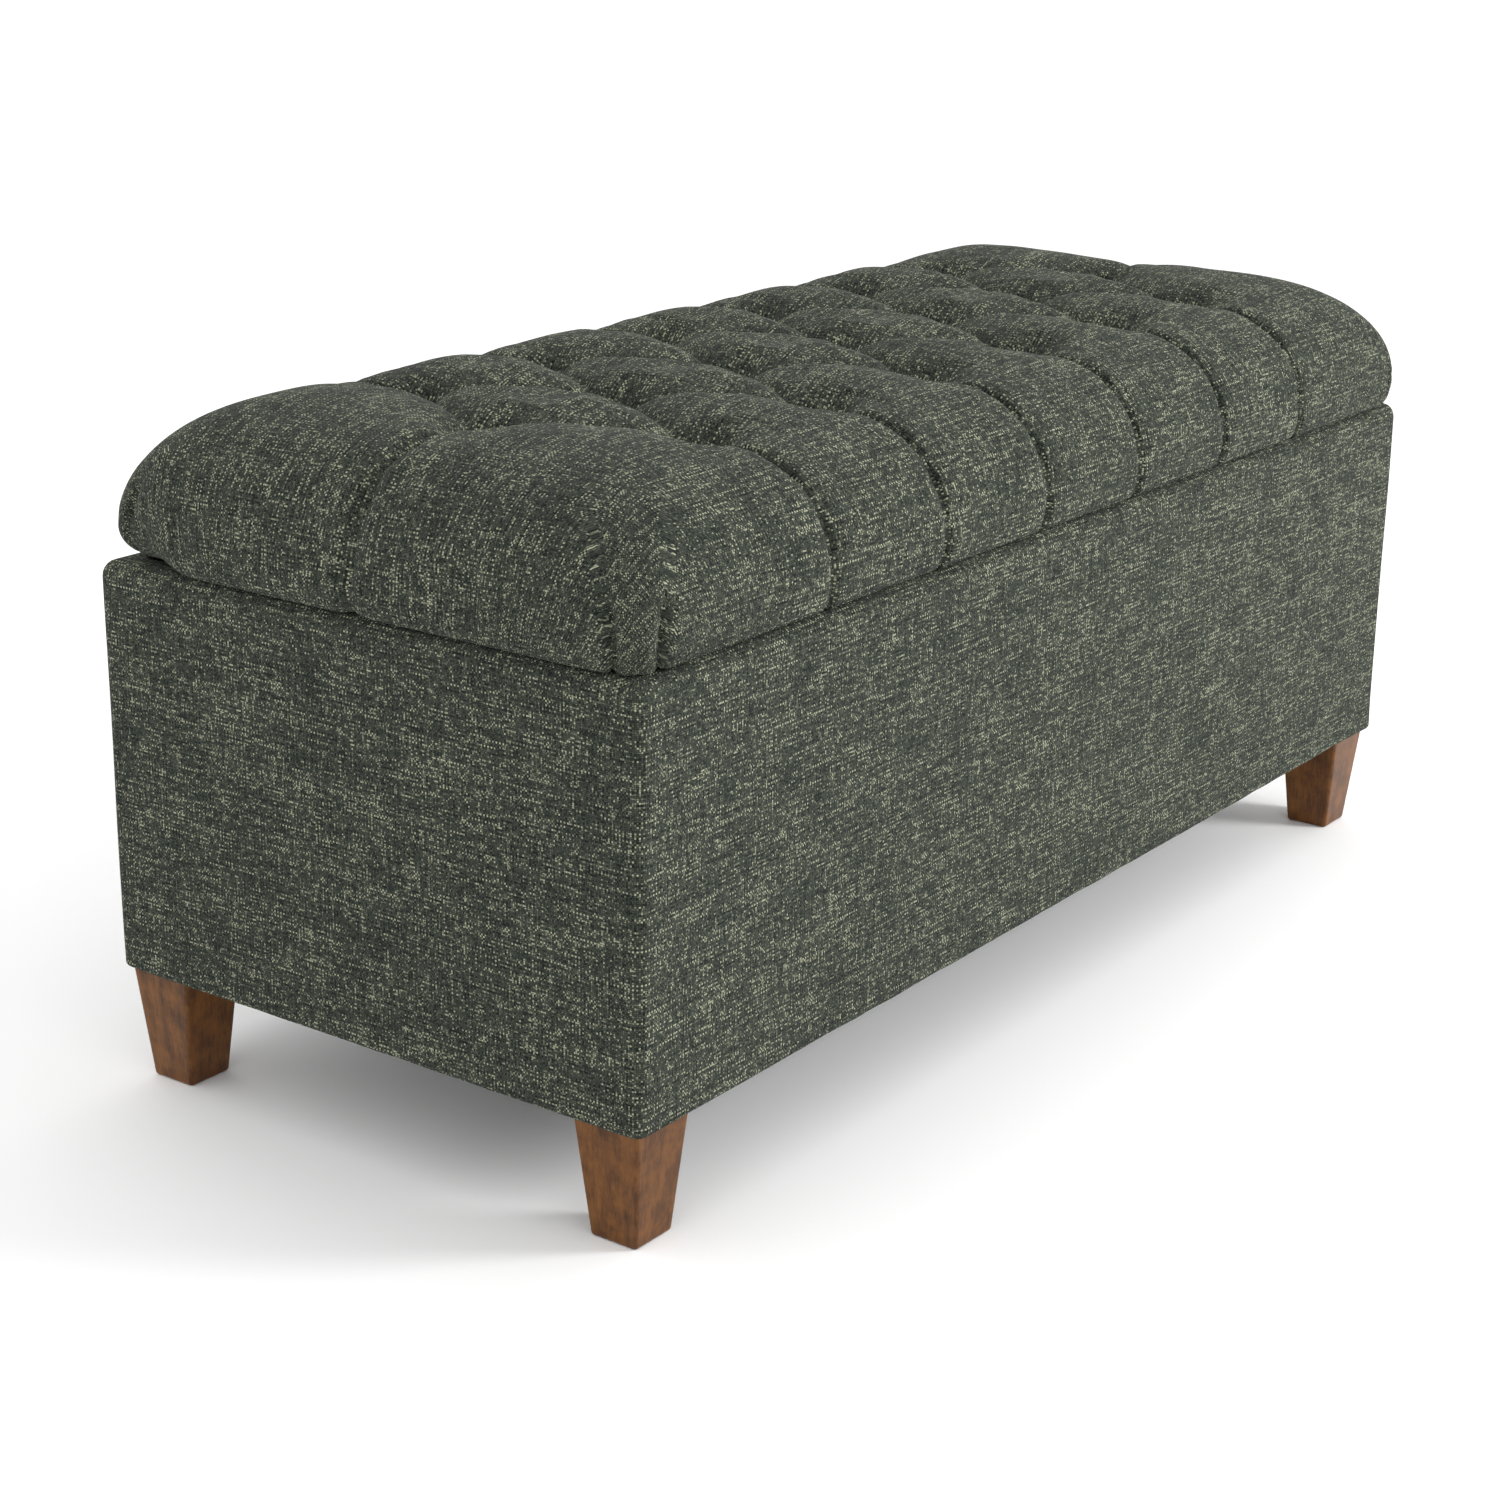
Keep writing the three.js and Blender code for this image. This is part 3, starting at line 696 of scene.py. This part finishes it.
def tufted_seat(material):
    """The lid's padded cover, as one closed form with its folds, pleats and hollows."""
    tufts = tuft_places()
    pitch = 2 * min(abs(x) for x, y in tufts if abs(y) > MM)
    row = max(y for _, y in tufts)
    length, out, height = FRONT_PROFILE
    row_cloth = FLAT[1] + float(np.interp(row - FLAT[1], out[:200], length[:200]))
    lip = length[int(np.argmin(height))]
    cell = np.array([pitch / 2 / CELLS, row_cloth / CELLS])
    cells = np.round((FLAT + PROFILE_LENGTH) / cell).astype(int)
    reach = cells * cell
    on_cloth = [(x, math.copysign(row_cloth, y) if abs(y) > MM else 0.0) for x, y in tufts]
    lines = fold_lines(on_cloth, reach)

    bm = bmesh.new()
    bmesh.ops.create_grid(bm, x_segments=int(2 * cells[0]), y_segments=int(2 * cells[1]), size=1)
    bmesh.ops.scale(bm, verts=bm.verts, vec=(reach[0], reach[1], 1))
    bmesh.ops.poke(bm, faces=bm.faces)
    near = near_lines(np.array([v.co[:2] for v in bm.verts]), lines, lip)
    bm.verts.index_update()
    fine = [e for e in bm.edges if near[e.verts[0].index] and near[e.verts[1].index]]
    bmesh.ops.subdivide_edges(bm, edges=fine, cuts=1, use_grid_fill=True)
    bmesh.ops.triangulate(bm, faces=[f for f in bm.faces if len(f.verts) > 4])
    uv = bm.loops.layers.uv.new("cloth")
    bm.verts.index_update()
    laid = bias_cloth(np.array([v.co[:2] for v in bm.verts]), lip)
    for face in bm.faces:
        for loop in face.loops:
            loop[uv].uv = laid[loop.vert.index]
    piece = mesh_piece("tufted_seat", bm, material, "lid", ["seat_cover", "seat_foam"])
    mesh = piece.data
    cloth = points_of(mesh)[:, :2].copy()
    cloth = np.clip(cloth, -(FLAT + PROFILE_LENGTH), FLAT + PROFILE_LENGTH)

    surface, gathered = crowned(cloth)
    put_points(mesh, surface)
    down = smoothstep(gathered, 95 * MM, 25 * MM)[:, None]
    inward = -vertex_normals(mesh) * (1 - down) + np.array([0, 0, -1]) * down
    valley = fold_depth(cloth, lines)
    hollow = tuft_hollow(cloth, on_cloth)
    depth = np.minimum((valley**3 + hollow**3) ** (1 / 3), TUFT_DEPTH)
    depth *= smoothstep(gathered, PROFILE_LENGTH - 28 * MM, PROFILE_LENGTH - 48 * MM)
    put_points(mesh, surface + inward * depth[:, None])

    free = smoothstep(PROFILE_LENGTH - gathered, 44 * MM, 60 * MM)
    for line in lines:
        along, off, _ = line_place(cloth, line)
        grip = 0.9 * np.exp(-along / (45 * MM)) if line[2] else 0.9
        free *= 1 - grip * (1 - smoothstep(np.abs(off), 1 * MM, 34 * MM))
    for x, y in on_cloth:
        free *= smoothstep(np.hypot(cloth[:, 0] - x, cloth[:, 1] - y), 9 * MM, 40 * MM)
    put_points(mesh, inflate(piece, free, SEAT_PRESSURE, SEAT_GROWTH, SEAT_CAP))

    normals = vertex_normals(mesh)
    crease = np.maximum(crease_depth(cloth, lines), dart_depth(cloth, lip))
    crease -= side_wrinkles(cloth, lines)
    crease *= smoothstep(gathered, PROFILE_LENGTH - 28 * MM, PROFILE_LENGTH - 40 * MM)
    lumps = ripple(points_of(mesh), LUMP_SIZE, 3)[:, 0] * LUMP_HEIGHT
    lumps *= smoothstep(gathered, PROFILE_LENGTH - 40 * MM, PROFILE_LENGTH - 60 * MM)
    put_points(mesh, points_of(mesh) + normals * (lumps - crease)[:, None])
    rounding = piece.modifiers.new("rounding", "SUBSURF")
    rounding.levels = rounding.render_levels = 1
    rounded = piece.evaluated_get(bpy.context.evaluated_depsgraph_get())
    piece.data = bpy.data.meshes.new_from_object(rounded)
    piece.modifiers.clear()
    close_underside(piece.data)
    return piece


def close_underside(mesh):
    """Turns the hem's edge up against the lid board and closes the form there."""
    bm = bmesh.new()
    bm.from_mesh(mesh)
    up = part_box("lid_board")[0].z - 0.15 * MM
    edge = [e for e in bm.edges if e.is_boundary]
    made = bmesh.ops.extrude_edge_only(bm, edges=edge)["geom"]
    for vert in (item for item in made if isinstance(item, bmesh.types.BMVert)):
        vert.co.z = up
    edge = [item for item in made if isinstance(item, bmesh.types.BMEdge) and item.is_boundary]
    made = bmesh.ops.extrude_edge_only(bm, edges=edge)["geom"]
    middle = [item for item in made if isinstance(item, bmesh.types.BMVert)]
    bmesh.ops.pointmerge(bm, verts=middle, merge_co=(0, 0, up))
    bmesh.ops.recalc_face_normals(bm, faces=bm.faces)
    for face in bm.faces:
        face.smooth = True
    bm.to_mesh(mesh)
    bm.free()


# ---- The padded cover of the box ----

COVER_CORNER = 9 * MM
COVER_PROUD = 2 * MM
RIM_RADIUS = 12 * MM
BOTTOM_RADIUS = 4 * MM
LINING_THICKNESS = 1.5 * MM
STATION_STEP = 9 * MM
ARC_STEPS = 8


def corner_point(corner, turn, inset, half):
    """A point on one rounded corner of the box's plan, turned from +X, moved in from the faces."""
    radius = np.maximum(COVER_CORNER - inset, 1 * MM)
    sign = [(1, 1), (-1, 1), (-1, -1), (1, -1)][corner % 4]
    x = sign[0] * (half[0] - inset - radius) + radius * np.cos(turn)
    y = sign[1] * (half[1] - inset - radius) + radius * np.sin(turn)
    return np.stack([x, y], axis=-1)


def cover_outline():
    """The closed cross-section of the cover, as distances in from the face and heights."""
    low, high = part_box("base_cover")
    panel_low, panel_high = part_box("front_panel")
    under = abs(panel_low.y - low.y) + (panel_high.y - panel_low.y) + COVER_PROUD
    skin = panel_low.y - low.y - 0.3 * MM + COVER_PROUD
    well = (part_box("base_lining")[0].y - low.y) + LINING_THICKNESS + COVER_PROUD
    rim_under = panel_high.z + 0.3 * MM
    hem_top = panel_low.z - 0.3 * MM
    turn = np.linspace(0, math.pi / 2, 7)
    path = [(under, low.z)]
    path += [
        (BOTTOM_RADIUS * (1 - math.sin(t)), low.z + BOTTOM_RADIUS * (1 - math.cos(t)))
        for t in turn
    ]
    path += [(0.0, z) for z in np.linspace(low.z + BOTTOM_RADIUS, high.z - RIM_RADIUS, 30)[1:]]
    path += [
        (RIM_RADIUS * (1 - math.cos(t)), high.z - RIM_RADIUS * (1 - math.sin(t)))
        for t in turn[1:]
    ]
    path += [(well - 1.5 * MM, high.z), (well - 0.4 * MM, high.z - 0.4 * MM)]
    path += [(well, high.z - 1.5 * MM)]
    path += [(well, rim_under), (skin, rim_under), (skin, hem_top)]
    path += [(under, hem_top), (under, low.z)]
    return np.array(path)


def box_cover(material):
    """The box's cover: its closed cross-section carried round the four sides."""
    low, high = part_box("base_cover")
    half = (high.x + COVER_PROUD, high.y + COVER_PROUD)
    outline = cover_outline()
    stations = []
    for corner in range(4):
        start = corner * math.pi / 2
        stations += [(corner, start + math.pi / 2 * i / ARC_STEPS, 0.0) for i in range(ARC_STEPS)]
        side = 2 * (half[0] if corner % 2 == 0 else half[1]) - 2 * COVER_CORNER
        count = round(side / STATION_STEP)
        stations += [(corner, start + math.pi / 2, i / count) for i in range(count)]
    stations.append(stations[0])
    corner, turn, share = (np.array(column) for column in zip(*stations))

    columns, rows = len(stations) - 1, len(outline) - 1
    bm = bmesh.new()
    bmesh.ops.create_grid(bm, x_segments=columns, y_segments=rows, size=1)
    grid = {vert: vert.co.copy() for vert in bm.verts}
    places = np.empty((columns + 1, rows + 1, 3))
    for row, (inset, height) in enumerate(outline):
        for column in range(columns + 1):
            here = corner_point(int(corner[column]), turn[column], inset, half)
            following = corner_point(int(corner[column]) + 1, turn[column], inset, half)
            places[column, row, :2] = here * (1 - share[column]) + following * share[column]
            places[column, row, 2] = height
    face_row = int(np.argmin(np.abs(outline[:, 1] - (low.z + high.z) / 2)))
    around = np.linalg.norm(np.diff(places[:, face_row, :], axis=0), axis=1)
    around = np.concatenate([[0], np.cumsum(around)])
    upward = np.concatenate([[0], np.cumsum(np.linalg.norm(np.diff(outline, axis=0), axis=1))])
    uv = bm.loops.layers.uv.new("cloth")
    index = {
        v: (round((g.x + 1) / 2 * columns), round((g.y + 1) / 2 * rows)) for v, g in grid.items()
    }
    for face in bm.faces:
        for loop in face.loops:
            column, row = index[loop.vert]
            loop[uv].uv = (around[column], upward[row])
    for vert, (column, row) in index.items():
        vert.co = places[column, row]
    bmesh.ops.remove_doubles(bm, verts=bm.verts, dist=0.01 * MM)
    bmesh.ops.recalc_face_normals(bm, faces=bm.faces)
    piece = mesh_piece("box_cover", bm, material, "base", ["base_cover"])
    soften_cover(piece.data, low, high, half)
    return piece


def soften_cover(mesh, low, high, half):
    """Lets the stretched cloth bow a little over its wadding and pull in where it is stapled."""
    points = points_of(mesh)
    outer = (np.abs(points[:, 0]) > half[0] - 3 * MM) | (np.abs(points[:, 1]) > half[1] - 3 * MM)
    away = np.column_stack([points[:, :2] / np.array(half), np.zeros(len(points))])
    away = np.where(np.abs(away) > 0.97, np.sign(away), 0)
    slow = ripple(points, 130 * MM, 2)[:, 0] * 0.7 * MM
    edge = 1 - smoothstep(points[:, 2], low.z + 4 * MM, low.z + 45 * MM)
    pulls = ripple(points * [1, 1, 0.3], 28 * MM, 5)[:, 0] * edge * 0.9 * MM
    points = points + away * ((slow + pulls) * outer)[:, None]
    put_points(mesh, points)


# ---- Legs and buttons ----

LEG_FOOT_SHARE = 38 / 54
LEG_EDGE = 2.5 * MM


def wooden_leg(name, material):
    low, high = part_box(name)
    middle = (low + high) / 2
    top = high.x - low.x
    bm = bmesh.new()
    bmesh.ops.create_cube(bm, size=1)
    bmesh.ops.scale(bm, verts=bm.verts, vec=(top, top, high.z - low.z))
    foot = [v for v in bm.verts if v.co.z < 0]
    bmesh.ops.scale(bm, verts=foot, vec=(LEG_FOOT_SHARE, LEG_FOOT_SHARE, 1))
    bmesh.ops.bevel(
        bm, geom=bm.edges[:], offset=LEG_EDGE, segments=3, profile=0.5, affect="EDGES", material=-1
    )
    bmesh.ops.translate(bm, verts=bm.verts, vec=middle)
    return mesh_piece("wooden_" + name, bm, material, "base", [name], smooth=False)


def covered_button(name, material):
    low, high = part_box(name)
    radius, height = (high.x - low.x) / 2, high.z - low.z
    bm = bmesh.new()
    outline = [(0, 0), (radius * 0.8, 0), (radius * 0.96, height * 0.12), (radius, height * 0.35)]
    outline += [(radius * math.cos(t), height * (0.35 + 0.65 * math.sin(t))) for t in (0.35, 0.75, 1.15)]
    outline.append((0, height))
    verts = [bm.verts.new((x, 0, z)) for x, z in outline]
    edges = [bm.edges.new(pair) for pair in zip(verts, verts[1:])]
    bmesh.ops.spin(
        bm, geom=verts + edges, cent=(0, 0, 0), axis=(0, 0, 1), angle=2 * math.pi,
        steps=28, use_merge=True,
    )
    bmesh.ops.remove_doubles(bm, verts=bm.verts, dist=0.01 * MM)
    bmesh.ops.recalc_face_normals(bm, faces=bm.faces)
    uv = bm.loops.layers.uv.new("cloth")
    bmesh.ops.translate(bm, verts=bm.verts, vec=((low.x + high.x) / 2, (low.y + high.y) / 2, low.z))
    for face in bm.faces:
        for loop in face.loops:
            loop[uv].uv = loop.vert.co.xy
    return mesh_piece("covered_" + name, bm, material, "lid", [name])


# ---- Thin linings ----

LINING_CELL = 22 * MM


def flat_lining(name, node, body, material):
    """A thin cloth stapled flat, slightly slack between its staples."""
    low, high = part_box(node)
    size = high - low
    counts = [max(2, round(length / LINING_CELL)) for length in size[:2]]
    bm = bmesh.new()
    bmesh.ops.create_grid(bm, x_segments=counts[0], y_segments=counts[1], size=0.5)
    bmesh.ops.scale(bm, verts=bm.verts, vec=(size.x, size.y, 1))
    bmesh.ops.translate(bm, verts=bm.verts, vec=((low.x + high.x) / 2, (low.y + high.y) / 2, low.z))
    piece = mesh_piece(name, bm, material, body, [node])
    points = points_of(piece.data)
    points[:, 2] += (ripple(points, 90 * MM, 8)[:, 2] + 1) * 0.15 * MM
    put_points(piece.data, points)
    thickness = piece.modifiers.new("thickness", "SOLIDIFY")
    thickness.thickness = size.z - 0.3 * MM
    thickness.offset = 1
    return piece


def well_lining(material):
    """The cloth liner of the storage well: its floor and four walls."""
    low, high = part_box("base_lining")
    size = high - low
    bm = bmesh.new()
    bmesh.ops.create_cube(bm, size=1)
    bmesh.ops.scale(bm, verts=bm.verts, vec=size)
    bmesh.ops.translate(bm, verts=bm.verts, vec=(low + high) / 2)
    top = [face for face in bm.faces if face.calc_center_median().z > high.z - 1 * MM]
    bmesh.ops.delete(bm, geom=top, context="FACES_ONLY")
    bmesh.ops.subdivide_edges(bm, edges=bm.edges[:], cuts=24, use_grid_fill=True)
    piece = mesh_piece("well_lining", bm, material, "base", ["base_lining"])
    points = points_of(piece.data)
    middle = np.array((low + high) / 2)
    inward = np.sign(middle - points)
    points += inward * (np.abs(ripple(points, 120 * MM, 4))) * 0.5 * MM * [1, 1, 0]
    put_points(piece.data, points)
    thickness = piece.modifiers.new("thickness", "SOLIDIFY")
    thickness.thickness = LINING_THICKNESS
    thickness.offset = -1
    return piece


# ---- Build ----

make_camera()
make_studio()
weave = weave_group()
grain = grain_group()
tweed = upholstery(weave)
leg_wood = stained_wood(grain)
finishes = {
    "plywood": plywood_finish(grain),
    "lining": bonded_cloth(),
    "steel": zinc_steel(),
    "rubber": bumper_rubber(),
    "fabric": tweed,
    "leg_wood": leg_wood,
}
slots = {row["node"]: row["material_slot"] for row in frame["record"]["subparts"]}
for name, node in nodes.items():
    finish = finishes.get(slots[name])
    if finish:
        for slot in node.material_slots:
            slot.material = finish

seat = tufted_seat(tweed)
cover = box_cover(tweed)
well_lining(finishes["lining"])
flat_lining("lid_underside_cloth", "lid_lining", "lid", finishes["lining"])
flat_lining("bottom_dust_cloth", "dust_cloth", "base", finishes["lining"])
for name in sorted(nodes):
    if slots[name] == "leg_wood":
        wooden_leg(name, leg_wood)
    if name.startswith("tuft_button"):
        covered_button(name, tweed)
